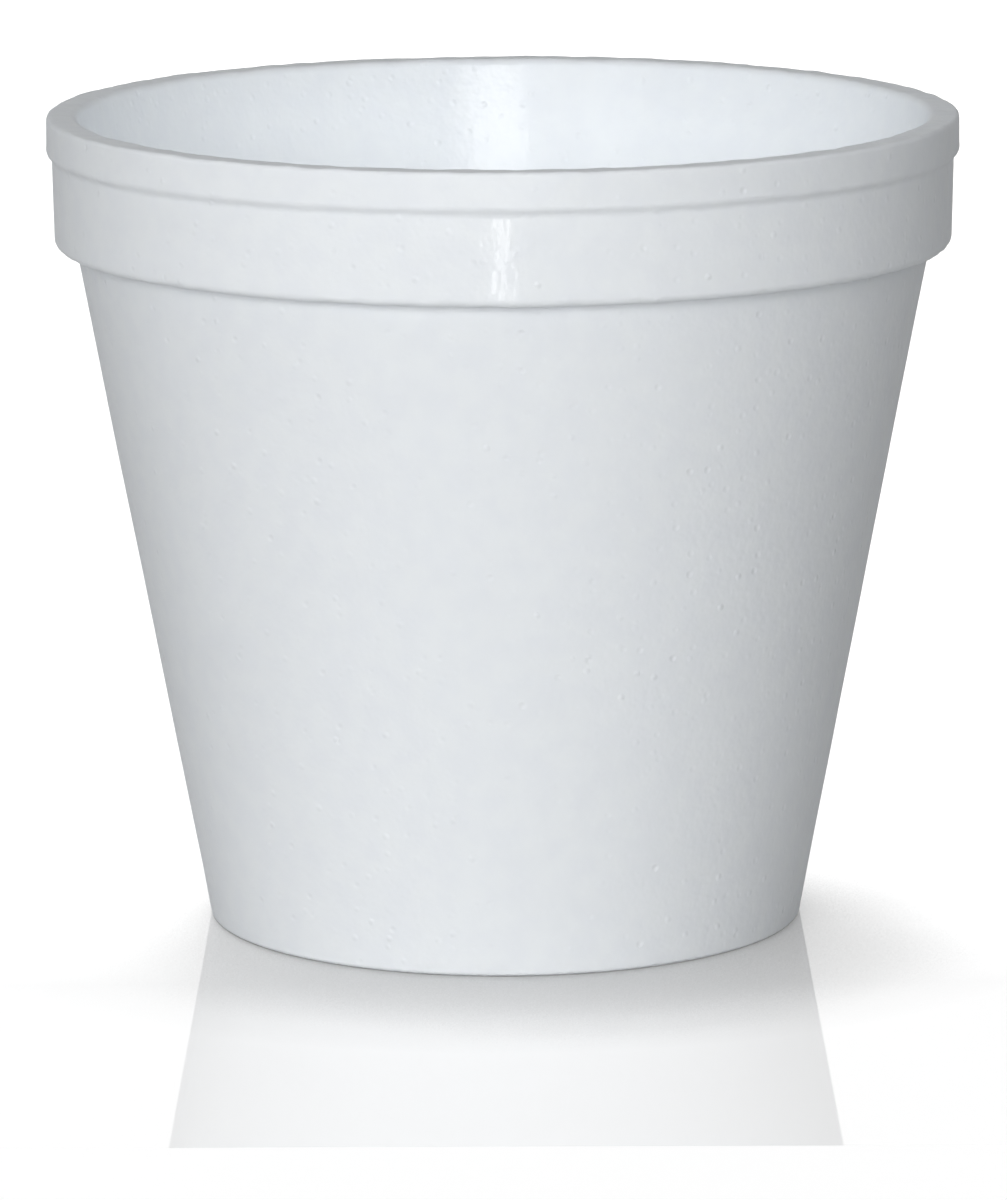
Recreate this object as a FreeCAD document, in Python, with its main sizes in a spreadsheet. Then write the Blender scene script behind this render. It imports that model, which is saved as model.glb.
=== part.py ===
import FreeCAD, Part
import Sketcher
import os

# A squat food cup, moulded in one piece from expanded polystyrene: a tapered wall
# under a thicker, nearly upright band, which ends in a lip that the lid snaps over.
# The cup stands on its foot, with the origin at the middle of the foot and +Z up
# its axis. All sizes are in millimetres.

# Driving dimensions: name of the cell, value, what it measures.
CUP_SIZES = (
    ("height", 95.5, "from the table to the top of the lip"),
    ("lip_diameter", 106.7, "outside, at the lower edge of the lip"),
    ("lip_height", 4.2, "upright face of the lip"),
    ("lip_draft", 0.1, "how much the lip's radius shrinks towards its top"),
    ("lip_overhang", 0.7, "how far the lip stands out from the band"),
    ("undercut_height", 0.8, "slanted face between the lip and the band"),
    ("rim_height", 15.35, "from the top of the lip down to the ledge"),
    ("band_draft", 0.2, "how much the band's radius shrinks towards the ledge"),
    ("neck_diameter", 100.0, "outside of the wall, just under the ledge"),
    ("base_diameter", 69.8, "outside of the wall, carried down to the table"),
    ("mouth_diameter", 99.2, "inside, at the top of the lip"),
    ("inner_floor_diameter", 65.8, "inside of the wall, carried down to the floor"),
    ("floor_thickness", 2.6, "between the inner floor and the underside"),
    ("foot_diameter", 58.0, "inside of the ring that the cup stands on"),
    ("foot_depth", 1.2, "how far the underside is set in above the ring"),
    ("foot_round", 0.5, "inner edge of the foot ring"),
    ("base_round", 0.6, "outer edge of the foot ring"),
    ("neck_round", 0.4, "corner where the wall meets the ledge"),
    ("ledge_round", 1.0, "lower edge of the band"),
    ("undercut_round", 1.0, "corner where the band meets the slanted face"),
    ("lip_lower_round", 1.0, "lower edge of the lip"),
    ("lip_outer_round", 0.55, "outer edge of the lip's top"),
    ("lip_inner_round", 1.0, "inner edge of the lip's top"),
    ("inner_floor_round", 3.0, "corner where the inside meets the floor"),
)

LIP_RADIUS = "Cup.lip_diameter / 2"
BAND_RADIUS = f"{LIP_RADIUS} - Cup.lip_overhang"
LEDGE_LEVEL = "Cup.height - Cup.rim_height"
LIP_LEVEL = "Cup.height - Cup.lip_height"
INNER_FLOOR_LEVEL = "Cup.foot_depth + Cup.floor_thickness"

# The half section, corner by corner round the wall: name, radius, height.
# A corner is rounded where the sheet has a cell for its name with "_round" after it.
SECTION_CORNERS = (
    ("underside_middle", "0", "Cup.foot_depth"),
    ("underside", "Cup.foot_diameter / 2", "Cup.foot_depth"),
    ("foot", "Cup.foot_diameter / 2", "0"),
    ("base", "Cup.base_diameter / 2", "0"),
    ("neck", "Cup.neck_diameter / 2", LEDGE_LEVEL),
    ("ledge", f"{BAND_RADIUS} - Cup.band_draft", LEDGE_LEVEL),
    ("undercut", BAND_RADIUS, f"{LIP_LEVEL} - Cup.undercut_height"),
    ("lip_lower", LIP_RADIUS, LIP_LEVEL),
    ("lip_outer", f"{LIP_RADIUS} - Cup.lip_draft", "Cup.height"),
    ("lip_inner", "Cup.mouth_diameter / 2", "Cup.height"),
    ("inner_floor", "Cup.inner_floor_diameter / 2", INNER_FLOOR_LEVEL),
    ("inner_floor_middle", "0", INNER_FLOOR_LEVEL),
)

ORIGIN = (-1, 1)
ACROSS_AXIS = -1
UP_AXIS = -2
START, END = 1, 2


def add_sizes(doc):
    sheet = doc.addObject("Spreadsheet::Sheet", "Cup")
    for row, (alias, size, note) in enumerate(CUP_SIZES, start=1):
        sheet.set(f"A{row}", alias)
        sheet.set(f"B{row}", str(size))
        sheet.set(f"C{row}", note)
        sheet.setAlias(f"B{row}", alias)
    doc.recompute()
    return sheet


def origin_feature(body, role):
    return next(item for item in body.Origin.OriginFeatures if item.Role == role)


def bind(sketch, constraint, label, expression):
    index = sketch.addConstraint(constraint)
    sketch.renameConstraint(index, label)
    sketch.setExpression(f"Constraints.{label}", expression)


def hold_corner(sketch, side, name, radius, height):
    """Tie the start of one side to its distances from the origin, or to an axis."""
    if radius == "0":
        sketch.addConstraint(Sketcher.Constraint("PointOnObject", side, START, UP_AXIS))
    else:
        distance = float(sketch.evalExpression(radius))
        across = Sketcher.Constraint("DistanceX", *ORIGIN, side, START, distance)
        bind(sketch, across, f"{name}_radius", radius)
    if height == "0":
        sketch.addConstraint(Sketcher.Constraint("PointOnObject", side, START, ACROSS_AXIS))
    else:
        distance = float(sketch.evalExpression(height))
        up = Sketcher.Constraint("DistanceY", *ORIGIN, side, START, distance)
        bind(sketch, up, f"{name}_height", height)


def round_corner(sketch, side, size, cell):
    """Put an arc between one side and the next, with its radius bound to the cell."""
    sketch.fillet(side, END, size, True, True)
    arcs = [index for index, item in enumerate(sketch.Geometry) if isinstance(item, Part.ArcOfCircle)]
    bind(sketch, Sketcher.Constraint("Radius", arcs[-1], size), cell, f"Cup.{cell}")


def draw_section(sketch, sheet):
    """Closed loop of sides through the corners, then the rounds."""
    points = []
    for name, radius, height in SECTION_CORNERS:
        across = float(sketch.evalExpression(radius))
        up = float(sketch.evalExpression(height))
        points.append(FreeCAD.Vector(across, up, 0))
    for start, end in zip(points, points[1:] + points[:1]):
        sketch.addGeometry(Part.LineSegment(start, end))
    for side in range(len(points)):
        following = (side + 1) % len(points)
        sketch.addConstraint(Sketcher.Constraint("Coincident", side, END, following, START))
    for side, (name, radius, height) in enumerate(SECTION_CORNERS):
        hold_corner(sketch, side, name, radius, height)
    for side, (name, radius, height) in enumerate(SECTION_CORNERS):
        cell = f"{name}_round"
        if sheet.getCellFromAlias(cell):
            round_corner(sketch, side - 1, sheet.get(cell), cell)


def make_foam_cup(doc, sheet):
    body = doc.addObject("PartDesign::Body", "foam_cup")
    body.Label = "foam_cup"
    body.Placement = FreeCAD.Placement()

    section = body.newObject("Sketcher::SketchObject", "section")
    section.AttachmentSupport = (origin_feature(body, "XZ_Plane"), [""])
    section.MapMode = "FlatFace"
    draw_section(section, sheet)

    wall = body.newObject("PartDesign::Revolution", "wall")
    wall.Profile = section
    wall.ReferenceAxis = (origin_feature(body, "Z_Axis"), [""])
    wall.Angle = 360.0
    doc.recompute()
    if not section.FullyConstrained:
        raise RuntimeError("the section is not fully constrained")
    return body


def check_objects(doc, parts):
    for item in doc.Objects:
        if "Invalid" in item.State or "Error" in item.State:
            raise RuntimeError(f"{item.Label} did not compute: {item.State}")
    for part in parts:
        if part.Shape.isNull() or not part.Shape.isValid():
            raise RuntimeError(f"{part.Label} has no valid shape")
        if len(part.Shape.Solids) != 1:
            raise RuntimeError(f"{part.Label} is not one solid")


def write_parts(parts):
    os.makedirs("parts", exist_ok=True)
    for part in parts:
        part.Shape.exportStep(f"parts/{part.Label}.step")
        print(f"{part.Label}: {part.Shape.Volume / 1000:.1f} cm3")


def main():
    doc = FreeCAD.newDocument("foam_cup_model")
    sheet = add_sizes(doc)
    parts = [make_foam_cup(doc, sheet)]
    doc.recompute()
    check_objects(doc, parts)
    write_parts(parts)


main()
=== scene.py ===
import math

import bpy
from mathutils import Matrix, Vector


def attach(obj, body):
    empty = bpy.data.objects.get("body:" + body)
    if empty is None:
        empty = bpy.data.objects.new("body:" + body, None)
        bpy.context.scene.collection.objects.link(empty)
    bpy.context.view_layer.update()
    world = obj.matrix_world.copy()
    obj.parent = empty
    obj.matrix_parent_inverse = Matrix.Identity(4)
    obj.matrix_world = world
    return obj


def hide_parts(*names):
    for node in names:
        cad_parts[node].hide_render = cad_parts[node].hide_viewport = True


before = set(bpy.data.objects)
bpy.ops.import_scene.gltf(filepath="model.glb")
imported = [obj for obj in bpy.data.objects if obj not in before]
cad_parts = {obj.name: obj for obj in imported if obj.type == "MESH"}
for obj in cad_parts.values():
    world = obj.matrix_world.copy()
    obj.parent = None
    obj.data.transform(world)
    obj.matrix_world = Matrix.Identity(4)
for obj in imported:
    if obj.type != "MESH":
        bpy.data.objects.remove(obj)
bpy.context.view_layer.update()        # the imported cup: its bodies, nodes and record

mm = 0.001
print("frame loaded")


def hexToLinear(hexCode):
    # sRGB hex to the linear colour that the shaders work in
    parts = [int(hexCode[i:i + 2], 16) / 255 for i in (1, 3, 5)]
    linear = [p / 12.92 if p <= 0.04045 else ((p + 0.055) / 1.055) ** 2.4 for p in parts]
    return (*linear, 1.0)


def addNode(tree, kind, inputs=None, **settings):
    # inputs go by socket name or number, and hold a value or the output to link
    node = tree.nodes.new(kind)
    for name, value in settings.items():
        setattr(node, name, value)
    for key, value in (inputs or {}).items():
        if isinstance(value, bpy.types.NodeSocket):
            tree.links.new(value, node.inputs[key])
        else:
            node.inputs[key].default_value = value
    return node


cameraLook = {
    "aside": -0.1 * mm,
    "distance": 900 * mm,     # from the cup's axis
    "height": 211.7 * mm,
    "tiltDown": 10.97,        # degrees
    "roll": -0.21,            # degrees, the cup's right side a touch higher
    "lens": 232.8,            # a long lens, so the lip's ellipse stays flat
    "sensor": 36,             # mm wide
    "farthest": 20,           # m, past the back of the floor
}


def placeCamera():
    look = cameraLook
    camera = bpy.data.objects.new("camera", bpy.data.cameras.new("camera"))
    bpy.context.scene.collection.objects.link(camera)
    camera.data.lens = look["lens"]
    camera.data.sensor_width = look["sensor"]
    camera.data.clip_end = look["farthest"]
    camera.location = (look["aside"], -look["distance"], look["height"])
    tilt = math.radians(90 - look["tiltDown"])
    camera.rotation_mode = "ZYX"          # roll first, then tilt
    camera.rotation_euler = (tilt, 0, math.radians(look["roll"]))
    bpy.context.scene.camera = camera


placeCamera()
print("camera placed")


# Expanded polystyrene, steam moulded in one shot from beads under 2 mm across. The tool
# presses the skin smooth and almost shut, so it reads as a soft cool white, matt, with
# the weak gloss of a melted skin. Close to, it is faintly grained, with a small dent or
# pimple where a bead sits low or high.
foamLook = {
    "white": "#F4F8FB",
    "shade": "#F2F6FA",       # beads that were packed less tightly
    "roughness": 0.5,
    "ior": 1.45,
    "glaze": 0.12,            # the thin skin that the hot tool melts
    "glazeRoughness": 0.12,
    "softness": 0.3,          # share of the light that goes through the foam a little way
    "softDepth": 1.0,         # mm
    "beadSize": 1.9,          # mm across one bead
    "dentRadius": 0.55,       # mm
    "dentDepth": 0.09,        # mm, up or down
    "grainSize": 1.0,         # mm
    "grainHeight": 0.04,      # mm
    "lumpSize": 6.0,          # mm
    "lumpHeight": 0.04,       # mm
    "mottleSize": 3.0,        # mm across a patch of white or shade
}


def makeFoamMaterial():
    look = foamLook
    material = bpy.data.materials.new("expandedPolystyreneMoulded")
    material.use_nodes = True
    tree = material.node_tree
    tree.nodes.clear()
    place = addNode(tree, "ShaderNodeTexCoord").outputs["Object"]

    # dents and pimples: one spot in each bead, as deep as the bead's own random number
    beads = addNode(tree, "ShaderNodeTexVoronoi",
                    {"Vector": place, "Scale": 1 / (look["beadSize"] * mm)}, feature="F1")
    spot = addNode(tree, "ShaderNodeMapRange", {
        "Value": beads.outputs["Distance"],
        "From Min": 0.0, "From Max": look["dentRadius"] / look["beadSize"],
        "To Min": 1.0, "To Max": 0.0,
    }, interpolation_type="SMOOTHSTEP")
    chance = addNode(tree, "ShaderNodeSeparateColor", {"Color": beads.outputs["Color"]})
    depth = addNode(tree, "ShaderNodeMapRange", {
        "Value": chance.outputs["Red"],
        "To Min": -look["dentDepth"] * mm, "To Max": look["dentDepth"] * mm,
    })
    surface = addNode(tree, "ShaderNodeMath", {0: spot.outputs[0], 1: depth.outputs[0]},
                      operation="MULTIPLY")

    # then the fine grain, and the broad lumps under it
    for size, height in (("grainSize", "grainHeight"), ("lumpSize", "lumpHeight")):
        noise = addNode(tree, "ShaderNodeTexNoise",
                        {"Vector": place, "Scale": 1 / (look[size] * mm), "Detail": 1.0})
        surface = addNode(tree, "ShaderNodeMath",
                          {0: noise.outputs["Fac"], 1: look[height] * mm, 2: surface.outputs[0]},
                          operation="MULTIPLY_ADD")
    bump = addNode(tree, "ShaderNodeBump",
                   {"Height": surface.outputs[0], "Distance": 1.0, "Strength": 1.0})

    mottle = addNode(tree, "ShaderNodeTexNoise",
                     {"Vector": place, "Scale": 1 / (look["mottleSize"] * mm), "Detail": 1.0})
    patches = addNode(tree, "ShaderNodeMapRange",
                      {"Value": mottle.outputs["Fac"], "From Min": 0.35, "From Max": 0.65})
    tint = addNode(tree, "ShaderNodeMix",
                   {"Factor": patches.outputs[0], "A": hexToLinear(look["white"]),
                    "B": hexToLinear(look["shade"])}, data_type="RGBA")
    shader = addNode(tree, "ShaderNodeBsdfPrincipled", {
        "Base Color": tint.outputs["Result"],
        "Roughness": look["roughness"],
        "IOR": look["ior"],
        "Specular IOR Level": 0.0,        # the gloss is the glaze alone
        "Coat Weight": look["glaze"],
        "Coat Roughness": look["glazeRoughness"],
        "Subsurface Weight": look["softness"],
        "Subsurface Radius": (1.0, 1.0, 1.0),
        "Subsurface Scale": look["softDepth"] * mm,
        "Normal": bump.outputs["Normal"],
        "Coat Normal": bump.outputs["Normal"],
    }, subsurface_method="BURLEY")
    addNode(tree, "ShaderNodeOutputMaterial", {"Surface": shader.outputs["BSDF"]})
    return material


foam = makeFoamMaterial()
print("foam material made")


# the cup, turned from its half section
cupShape = {                      # in mm, but for the last three
    "height": 95.5,
    "lipDiameter": 106.7,
    "lipHeight": 4.2,
    "lipDraft": 0.1,
    "lipOverhang": 0.7,
    "undercutHeight": 0.8,
    "rimHeight": 15.35,
    "bandDraft": 0.2,
    "neckDiameter": 100.0,
    "baseDiameter": 69.8,
    "mouthDiameter": 99.2,
    "innerFloorDiameter": 65.8,
    "floorThickness": 2.6,
    "footDiameter": 58.0,
    "footDepth": 1.2,
    "rounds": {"foot": 0.5, "base": 0.6, "neck": 0.4, "ledge": 1.0, "undercut": 1.0,
               "lipLower": 1.0, "lipOuter": 0.55, "lipInner": 1.0, "innerFloor": 3.0},
    "flashHeight": 0.62,          # the tool's parting line, a low ridge along the lip
    "flashStep": 0.07,
    "waveHeight": 0.14,           # how far the edges of the rim waver
    "waveLength": 2.6,
    "waveFrom": 76.0,             # no waver below this height, and all of it above the next
    "waveFull": 79.0,
    "topFrom": 92.0,              # between these two it turns to a waver that only goes down
    "topFull": 95.0,
    "warpHeight": 0.1,            # how far the whole wall is off its true circle
    "warpLength": 24.0,
    "warpFrom": 1.5,              # the foot below this height stays true
    "warpFull": 6.0,
    "rowSpacing": 3.0,            # between rows of the mesh
    "rimRowSpacing": 0.7,
    "segments": 480,              # how many, round the cup
    "roundSteps": 6,
    "seed": 7,
}

# sizes that the turning tree takes, and the value that each is given
turningSizes = {
    "Wave Height": "waveHeight", "Wave Length": "waveLength",
    "Wave From": "waveFrom", "Wave Full": "waveFull",
    "Top From": "topFrom", "Top Full": "topFull",
    "Warp Height": "warpHeight", "Warp Length": "warpLength",
    "Warp From": "warpFrom", "Warp Full": "warpFull",
}


def sectionCorners():
    # name, radius and height of each corner, and whether the side after it is cut fine
    s = cupShape
    lip = s["lipDiameter"] / 2
    band = lip - s["lipOverhang"]
    ledgeLevel = s["height"] - s["rimHeight"]
    lipLevel = s["height"] - s["lipHeight"]
    floorLevel = s["footDepth"] + s["floorThickness"]
    return (
        ("undersideMiddle", 0, s["footDepth"], False),
        ("underside", s["footDiameter"] / 2, s["footDepth"], False),
        ("foot", s["footDiameter"] / 2, 0, False),
        ("base", s["baseDiameter"] / 2, 0, False),
        ("neck", s["neckDiameter"] / 2, ledgeLevel, True),
        ("ledge", band - s["bandDraft"], ledgeLevel, True),
        ("undercut", band, lipLevel - s["undercutHeight"], True),
        ("lipLower", lip, lipLevel, True),
        ("flash", lip - s["flashStep"], lipLevel + s["flashHeight"], True),
        ("lipOuter", lip - s["lipDraft"], s["height"], True),
        ("lipInner", s["mouthDiameter"] / 2, s["height"], False),
        ("innerFloor", s["innerFloorDiameter"] / 2, floorLevel, False),
        ("innerFloorMiddle", 0, floorLevel, False),
    )


def makeSection():
    s = cupShape
    corners = sectionCorners()
    mesh = bpy.data.meshes.new("section")
    points = [(radius * mm, 0, level * mm) for name, radius, level, fine in corners]
    mesh.from_pydata(points, [(i, i + 1) for i in range(len(points) - 1)], [])
    rounds = mesh.attributes.new("cornerRound", "FLOAT", "POINT")
    spacing = mesh.attributes.new("rowSpacing", "FLOAT", "POINT")
    for i, (name, radius, level, fine) in enumerate(corners):
        rounds.data[i].value = s["rounds"].get(name, 0) * mm
        spacing.data[i].value = (s["rimRowSpacing"] if fine else s["rowSpacing"]) * mm
    return mesh


def addWave(tree, place, length, seed):
    # smooth random field from 0 to 1, one wave in each length
    scale = addNode(tree, "ShaderNodeMath", {0: 1.0, 1: length}, operation="DIVIDE")
    noise = addNode(tree, "ShaderNodeTexNoise",
                    {"Vector": place, "W": seed, "Scale": scale.outputs[0], "Detail": 1.0},
                    noise_dimensions="4D")
    spread = addNode(tree, "ShaderNodeMapRange",
                     {"Value": noise.outputs[0], "From Min": 0.3, "From Max": 0.7})
    return spread.outputs[0]


def makeTurningTree():
    tree = bpy.data.node_groups.new("turnedFoam", "GeometryNodeTree")
    sockets = tree.interface
    sockets.new_socket(name="Section", in_out="INPUT", socket_type="NodeSocketGeometry")
    sockets.new_socket(name="Segments", in_out="INPUT", socket_type="NodeSocketInt")
    sockets.new_socket(name="Round Steps", in_out="INPUT", socket_type="NodeSocketInt")
    for name in (*turningSizes, "Seed"):
        sockets.new_socket(name=name, in_out="INPUT", socket_type="NodeSocketFloat")
    sockets.new_socket(name="Foam", in_out="INPUT", socket_type="NodeSocketMaterial")
    sockets.new_socket(name="Cup", in_out="OUTPUT", socket_type="NodeSocketGeometry")
    given = addNode(tree, "NodeGroupInput").outputs

    # the section as a curve, its corners rounded and its sides cut into rows
    line = addNode(tree, "GeometryNodeMeshToCurve", {"Mesh": given["Section"]})
    corner = addNode(tree, "GeometryNodeInputNamedAttribute", {"Name": "cornerRound"},
                     data_type="FLOAT")
    rounded = addNode(tree, "GeometryNodeFilletCurve",
                      {"Curve": line.outputs[0], "Count": given["Round Steps"],
                       "Radius": corner.outputs["Attribute"]}, mode="POLY")
    here = addNode(tree, "GeometryNodeInputPosition").outputs[0]
    index = addNode(tree, "GeometryNodeInputIndex").outputs[0]
    nextPoint = addNode(tree, "GeometryNodeOffsetPointInCurve", {"Point Index": index, "Offset": 1})
    nextPlace = addNode(tree, "GeometryNodeFieldAtIndex",
                        {"Index": nextPoint.outputs["Point Index"], "Value": here},
                        data_type="FLOAT_VECTOR", domain="POINT")
    side = addNode(tree, "ShaderNodeVectorMath", {0: here, 1: nextPlace.outputs[0]},
                   operation="DISTANCE")
    spacing = addNode(tree, "GeometryNodeInputNamedAttribute", {"Name": "rowSpacing"},
                      data_type="FLOAT")
    pieces = addNode(tree, "ShaderNodeMath",
                     {0: side.outputs["Value"], 1: spacing.outputs["Attribute"]},
                     operation="DIVIDE")
    cuts = addNode(tree, "ShaderNodeMath", {0: pieces.outputs[0]}, operation="FLOOR")
    rows = addNode(tree, "GeometryNodeSubdivideCurve",
                   {"Curve": rounded.outputs[0], "Cuts": cuts.outputs[0]})

    # a flat grid, one row of it for each point of the section, wrapped round the axis
    size = addNode(tree, "GeometryNodeAttributeDomainSize", {"Geometry": rows.outputs[0]},
                   component="CURVE")
    rowCount = size.outputs["Point Count"]
    around = addNode(tree, "ShaderNodeMath", {0: given["Segments"], 1: 1}, operation="ADD")
    grid = addNode(tree, "GeometryNodeMeshGrid",
                   {"Size X": 1, "Size Y": 1, "Vertices X": around.outputs[0],
                    "Vertices Y": rowCount})
    flat = addNode(tree, "ShaderNodeSeparateXYZ", {0: here})
    turn = addNode(tree, "ShaderNodeMath", {0: flat.outputs["X"], 1: 0.5}, operation="ADD")
    angle = addNode(tree, "ShaderNodeMath", {0: turn.outputs[0], 1: math.tau},
                    operation="MULTIPLY")
    along = addNode(tree, "ShaderNodeMath", {0: flat.outputs["Y"], 1: 0.5}, operation="ADD")
    lastRow = addNode(tree, "ShaderNodeMath", {0: rowCount, 1: 1}, operation="SUBTRACT")
    row = addNode(tree, "ShaderNodeMath", {0: along.outputs[0], 1: lastRow.outputs[0]},
                  operation="MULTIPLY")
    wholeRow = addNode(tree, "ShaderNodeMath", {0: row.outputs[0]}, operation="ROUND")
    spot = addNode(tree, "GeometryNodeSampleIndex",
                   {"Geometry": rows.outputs[0], "Value": here, "Index": wholeRow.outputs[0]},
                   data_type="FLOAT_VECTOR", domain="POINT")
    profile = addNode(tree, "ShaderNodeSeparateXYZ", {0: spot.outputs[0]})
    cosine = addNode(tree, "ShaderNodeMath", {0: angle.outputs[0]}, operation="COSINE")
    sine = addNode(tree, "ShaderNodeMath", {0: angle.outputs[0]}, operation="SINE")
    across = addNode(tree, "ShaderNodeMath", {0: profile.outputs["X"], 1: cosine.outputs[0]},
                     operation="MULTIPLY")
    deep = addNode(tree, "ShaderNodeMath", {0: profile.outputs["X"], 1: sine.outputs[0]},
                   operation="MULTIPLY")
    wrapped = addNode(tree, "ShaderNodeCombineXYZ",
                      {"X": across.outputs[0], "Y": deep.outputs[0], "Z": profile.outputs["Z"]})
    turned = addNode(tree, "GeometryNodeSetPosition",
                     {"Geometry": grid.outputs["Mesh"], "Position": wrapped.outputs[0]})
    closed = addNode(tree, "GeometryNodeMergeByDistance",
                     {"Geometry": turned.outputs[0], "Distance": 0.001 * mm})

    # the edges of the rim waver up and down, the top one down only
    level = addNode(tree, "ShaderNodeSeparateXYZ", {0: here}).outputs["Z"]
    wave = addWave(tree, here, given["Wave Length"], given["Seed"])
    middle = addNode(tree, "ShaderNodeMapRange",
                     {"Value": level, "From Min": given["Top From"],
                      "From Max": given["Top Full"], "To Min": 0.5, "To Max": 1.0})
    inRim = addNode(tree, "ShaderNodeMapRange",
                    {"Value": level, "From Min": given["Wave From"],
                     "From Max": given["Wave Full"]})
    rise = addNode(tree, "ShaderNodeMath", {0: wave, 1: middle.outputs[0]}, operation="SUBTRACT")
    rise = addNode(tree, "ShaderNodeMath", {0: rise.outputs[0], 1: given["Wave Height"]},
                   operation="MULTIPLY")
    rise = addNode(tree, "ShaderNodeMath", {0: rise.outputs[0], 1: inRim.outputs[0]},
                   operation="MULTIPLY")
    waver = addNode(tree, "ShaderNodeCombineXYZ", {"Z": rise.outputs[0]})
    wavy = addNode(tree, "GeometryNodeSetPosition",
                   {"Geometry": closed.outputs[0], "Offset": waver.outputs[0]})

    # the whole wall is a little off its true circle, into the foam, but not where it stands
    warp = addWave(tree, here, given["Warp Length"], given["Seed"])
    inward = addNode(tree, "ShaderNodeMapRange",
                     {"Value": level, "From Min": given["Warp From"],
                      "From Max": given["Warp Full"], "To Min": 0.0, "To Max": -1.0})
    sink = addNode(tree, "ShaderNodeMath", {0: warp, 1: inward.outputs[0]},
                   operation="MULTIPLY")
    sink = addNode(tree, "ShaderNodeMath", {0: sink.outputs[0], 1: given["Warp Height"]},
                   operation="MULTIPLY")
    outward = addNode(tree, "GeometryNodeInputNormal")
    shift = addNode(tree, "ShaderNodeVectorMath",
                    {0: outward.outputs[0], "Scale": sink.outputs[0]}, operation="SCALE")
    uneven = addNode(tree, "GeometryNodeSetPosition",
                     {"Geometry": wavy.outputs[0], "Offset": shift.outputs[0]})
    smooth = addNode(tree, "GeometryNodeSetShadeSmooth", {"Geometry": uneven.outputs[0]})
    real = addNode(tree, "GeometryNodeRealizeInstances", {"Geometry": smooth.outputs[0]})
    skin = addNode(tree, "GeometryNodeSetMaterial",
                   {"Geometry": real.outputs[0], "Material": given["Foam"]})
    addNode(tree, "NodeGroupOutput", {"Cup": skin.outputs[0]})
    return tree


def socketId(tree, name):
    return next(item.identifier for item in tree.interface.items_tree if item.name == name)


def makeCup():
    cup = bpy.data.objects.new("cup", makeSection())
    bpy.context.scene.collection.objects.link(cup)
    tree = makeTurningTree()
    turning = cup.modifiers.new("turning", "NODES")
    turning.node_group = tree
    for socket, key in turningSizes.items():
        turning[socketId(tree, socket)] = cupShape[key] * mm
    turning[socketId(tree, "Segments")] = cupShape["segments"]
    turning[socketId(tree, "Round Steps")] = cupShape["roundSteps"]
    turning[socketId(tree, "Seed")] = float(cupShape["seed"])
    turning[socketId(tree, "Foam")] = foam
    cup.modifiers.new("evenNormals", "WEIGHTED_NORMAL")
    graph = bpy.context.evaluated_depsgraph_get()
    mesh = bpy.data.meshes.new_from_object(cup.evaluated_get(graph), depsgraph=graph)
    mesh.name = "cup"
    cup.modifiers.clear()
    cup.data = mesh
    triangles = sum(len(face.vertices) - 2 for face in mesh.polygons)
    print("cup:", len(mesh.vertices), "points,", triangles, "triangles")
    return cup


cup = makeCup()
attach(cup, "root")
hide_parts("foam_cup")
print("cup made")


roomLook = {
    "background": "#FFFFFF",
    "horizonLight": 0.0,      # soft light from the room, level with the cup
    "overheadLight": 0.32,
    "horizonEnds": 0.1,       # how far up the horizon's light reaches, 1 is straight up
    "overheadStarts": 0.6,
}


def whiteRays(tree):
    # 1 for what the camera sees, straight or through gloss and glass
    path = addNode(tree, "ShaderNodeLightPath").outputs
    seen = addNode(tree, "ShaderNodeMath",
                   {0: path["Is Camera Ray"], 1: path["Is Glossy Ray"]}, operation="MAXIMUM")
    seen = addNode(tree, "ShaderNodeMath",
                   {0: seen.outputs[0], 1: path["Is Transmission Ray"]}, operation="MAXIMUM")
    return seen.outputs[0]


def makeWorld():
    look = roomLook
    world = bpy.data.worlds.new("studio")
    bpy.context.scene.world = world
    world.use_nodes = True
    tree = world.node_tree
    tree.nodes.clear()
    toSky = addNode(tree, "ShaderNodeTexCoord").outputs["Generated"]
    up = addNode(tree, "ShaderNodeSeparateXYZ", {0: toSky}).outputs["Z"]
    strength = addNode(tree, "ShaderNodeMapRange",
                       {"Value": up, "From Min": look["horizonEnds"],
                        "From Max": look["overheadStarts"],
                        "To Min": look["horizonLight"], "To Max": look["overheadLight"]})
    soft = addNode(tree, "ShaderNodeBackground",
                   {"Color": (1, 1, 1, 1), "Strength": strength.outputs[0]})
    seen = addNode(tree, "ShaderNodeBackground",
                   {"Color": hexToLinear(look["background"]), "Strength": 1.0})
    mix = addNode(tree, "ShaderNodeMixShader",
                  {0: whiteRays(tree), 1: soft.outputs[0], 2: seen.outputs[0]})
    addNode(tree, "ShaderNodeOutputWorld", {"Surface": mix.outputs[0]})


floorLook = {
    "half": 3.0,                           # m, half the side of the paper
    "paper": "#AAAAAA",
    "paintedShadowFrom": (-0.2, 0.6, 0.77),    # direction the occlusion test looks in, so that the painted shadow falls most in front
    "shadeReach": 35 * mm,                 # how far the cup shades the floor
    "shadeStops": ((0.42, 0.14), (0.52, 0.38), (0.66, 0.82), (1.0, 1.0)),    # openness, glow
    "glowInFront": 0.78,                   # the paper's glow in front of the cup
    "glowBehind": 1.1,
    "glowLine": (-38 * mm, -10 * mm),      # where the one turns into the other, along Y
    "tableLight": 0.29,                    # how much of the glow reaches the cup
    "tableLightLeast": 0.05,               # the same where the cup stands
    "sheetHalf": 110 * mm,                 # half the side of the acrylic sheet
    "sheetIor": 1.75,                      # over acrylic's 1.49, for a clearer reflection
    "sheetRoughness": 0.03,
}


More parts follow.
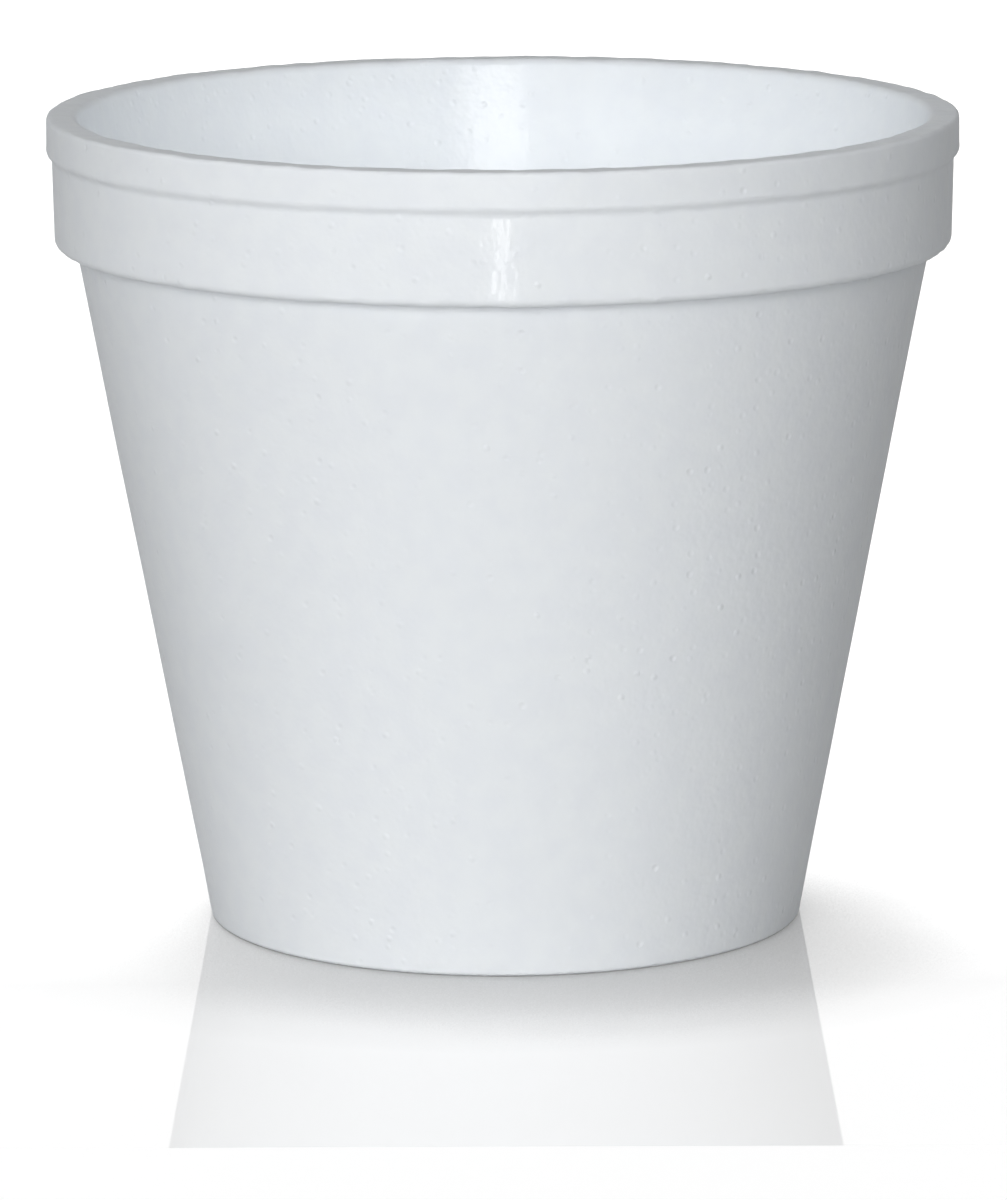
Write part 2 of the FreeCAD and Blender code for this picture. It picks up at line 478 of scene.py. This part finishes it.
def makeFloorMaterial():
    # Matt white paper that glows for the camera as if lit from behind. The cup's shadow on
    # it is painted shade: an occlusion test round the cup dims the glow, most in front, and
    # the glow is set lower in front of the cup than behind it. A square of clear acrylic
    # sheet lies on it under the cup, and gives the cup a soft, pale reflection with a sharp
    # front edge.
    look = floorLook
    material = bpy.data.materials.new("paperUnderAcrylicSheet")
    material.use_nodes = True
    tree = material.node_tree
    tree.nodes.clear()
    seen = whiteRays(tree)
    paper = addNode(tree, "ShaderNodeMix",
                    {"Factor": seen, "A": hexToLinear("#000000"), "B": hexToLinear(look["paper"])},
                    data_type="RGBA")
    matte = addNode(tree, "ShaderNodeBsdfDiffuse", {"Color": paper.outputs["Result"]})
    paintedShadowTowards = addNode(tree, "ShaderNodeCombineXYZ", dict(zip("XYZ", look["paintedShadowFrom"])))
    # painted shadow: the paper's glow is dimmed where the cup hides it in this direction, with no
    # lamp casting it
    openSide = addNode(tree, "ShaderNodeAmbientOcclusion",
                       {"Distance": look["shadeReach"], "Normal": paintedShadowTowards.outputs[0]},
                       samples=4)
    shade = addNode(tree, "ShaderNodeValToRGB", {0: openSide.outputs["AO"]})
    ramp = shade.color_ramp.elements
    ramp.remove(ramp[0])
    for i, (position, grey) in enumerate(look["shadeStops"]):
        stop = ramp[0] if i == 0 else ramp.new(position)
        stop.position = position
        stop.color = (grey, grey, grey, 1)
    place = addNode(tree, "ShaderNodeTexCoord").outputs["Object"]
    axes = addNode(tree, "ShaderNodeSeparateXYZ", {0: place}).outputs
    front, behind = look["glowLine"]
    level = addNode(tree, "ShaderNodeMapRange",
                    {"Value": axes["Y"], "From Min": front, "From Max": behind,
                     "To Min": look["glowInFront"], "To Max": look["glowBehind"]})
    glow = addNode(tree, "ShaderNodeMath",
                   {0: shade.outputs[0], 1: level.outputs[0]}, operation="MULTIPLY")
    bounce = addNode(tree, "ShaderNodeMapRange",
                     {"Value": shade.outputs[0], "To Min": look["tableLightLeast"],
                      "To Max": look["tableLight"]})
    glow = addNode(tree, "ShaderNodeMix",
                   {0: seen, 2: bounce.outputs[0], 3: glow.outputs[0]}, data_type="FLOAT")
    lit = addNode(tree, "ShaderNodeEmission", {"Color": (1, 1, 1, 1), "Strength": glow.outputs[0]})
    surface = addNode(tree, "ShaderNodeAddShader", {0: matte.outputs[0], 1: lit.outputs[0]})

    mirror = addNode(tree, "ShaderNodeBsdfGlossy",
                     {"Color": (1, 1, 1, 1), "Roughness": look["sheetRoughness"]})
    aside = addNode(tree, "ShaderNodeMath", {0: axes["X"]}, operation="ABSOLUTE")
    ahead = addNode(tree, "ShaderNodeMath", {0: axes["Y"]}, operation="ABSOLUTE")
    far = addNode(tree, "ShaderNodeMath", {0: aside.outputs[0], 1: ahead.outputs[0]},
                  operation="MAXIMUM")
    onSheet = addNode(tree, "ShaderNodeMath", {0: far.outputs[0], 1: look["sheetHalf"]},
                      operation="LESS_THAN")
    gloss = addNode(tree, "ShaderNodeFresnel", {"IOR": look["sheetIor"]})
    share = addNode(tree, "ShaderNodeMath", {0: gloss.outputs[0], 1: onSheet.outputs[0]},
                    operation="MULTIPLY")
    surface = addNode(tree, "ShaderNodeMixShader",
                      {0: share.outputs[0], 1: surface.outputs[0], 2: mirror.outputs[0]})
    addNode(tree, "ShaderNodeOutputMaterial", {"Surface": surface.outputs[0]})
    return material


def makeFloor():
    half = floorLook["half"]
    mesh = bpy.data.meshes.new("floor")
    mesh.from_pydata([(-half, -half, 0), (half, -half, 0), (half, half, 0), (-half, half, 0)],
                     [], [(0, 1, 2, 3)])
    mesh.materials.append(makeFloorMaterial())
    floor = bpy.data.objects.new("floor", mesh)
    bpy.context.scene.collection.objects.link(floor)


# Turn 0 is straight in front of the cup and goes towards +X, rise is above the table,
# both in degrees. Aim is a height on the cup's axis. The strips show in the gloss alone,
# as a streak inside the cup and one down the band.
softboxes = {
    "keySoftbox": {"turn": -14, "rise": 18, "away": 1.3, "size": (1.2, 0.5), "power": 9.8,
                   "aim": 50 * mm},
    "lowFill": {"turn": -2, "rise": 0, "away": 0.6, "size": (0.4, 0.08), "power": 0.45,
                "aim": 45 * mm},
    "backSoftbox": {"turn": 180, "rise": 4, "away": 1.3, "size": (0.3, 0.24), "power": 6.0,
                    "aim": 50 * mm, "hideFrom": "glossy"},
    "strip": {"turn": 1.3, "rise": 15, "away": 1.35, "size": (0.45, 0.18), "power": 5.1,
              "aim": 50 * mm, "hideFrom": "diffuse", "shape": "ELLIPSE"},
    "lowStrip": {"turn": -0.5, "rise": 0, "away": 0.3, "size": (0.009, 0.04), "power": 0.075,
                 "aim": 38 * mm, "hideFrom": "diffuse"},
}
# daylight that the thin walls let through to the inside
wallGlow = {"power": 0.0133, "radius": 15 * mm, "place": (-9 * mm, 0, 84 * mm)}


def addLamp(name, kind, power):
    light = bpy.data.lights.new(name, kind)
    light.energy = power
    lamp = bpy.data.objects.new(name, light)
    bpy.context.scene.collection.objects.link(lamp)
    lamp.visible_camera = False
    return lamp


def addSoftbox(name, box):
    lamp = addLamp(name, "AREA", box["power"])
    lamp.data.shape = box.get("shape", "RECTANGLE")
    lamp.data.size, lamp.data.size_y = box["size"]
    turn = math.radians(box["turn"])
    rise = math.radians(box["rise"])
    level = math.cos(rise)
    away = Vector((math.sin(turn) * level, -math.cos(turn) * level, math.sin(rise)))
    lamp.location = Vector((0, 0, box["aim"])) + away * box["away"]
    lamp.rotation_euler = away.to_track_quat("Z", "Y").to_euler()
    if "hideFrom" in box:
        setattr(lamp, "visible_" + box["hideFrom"], False)


def addWallGlow():
    lamp = addLamp("wallGlow", "POINT", wallGlow["power"])
    lamp.data.shadow_soft_size = wallGlow["radius"]
    lamp.location = wallGlow["place"]
    lamp.visible_glossy = False


makeWorld()
makeFloor()
for name, box in softboxes.items():
    addSoftbox(name, box)
addWallGlow()
bpy.context.scene.view_settings.view_transform = "Standard"
print("studio ready")
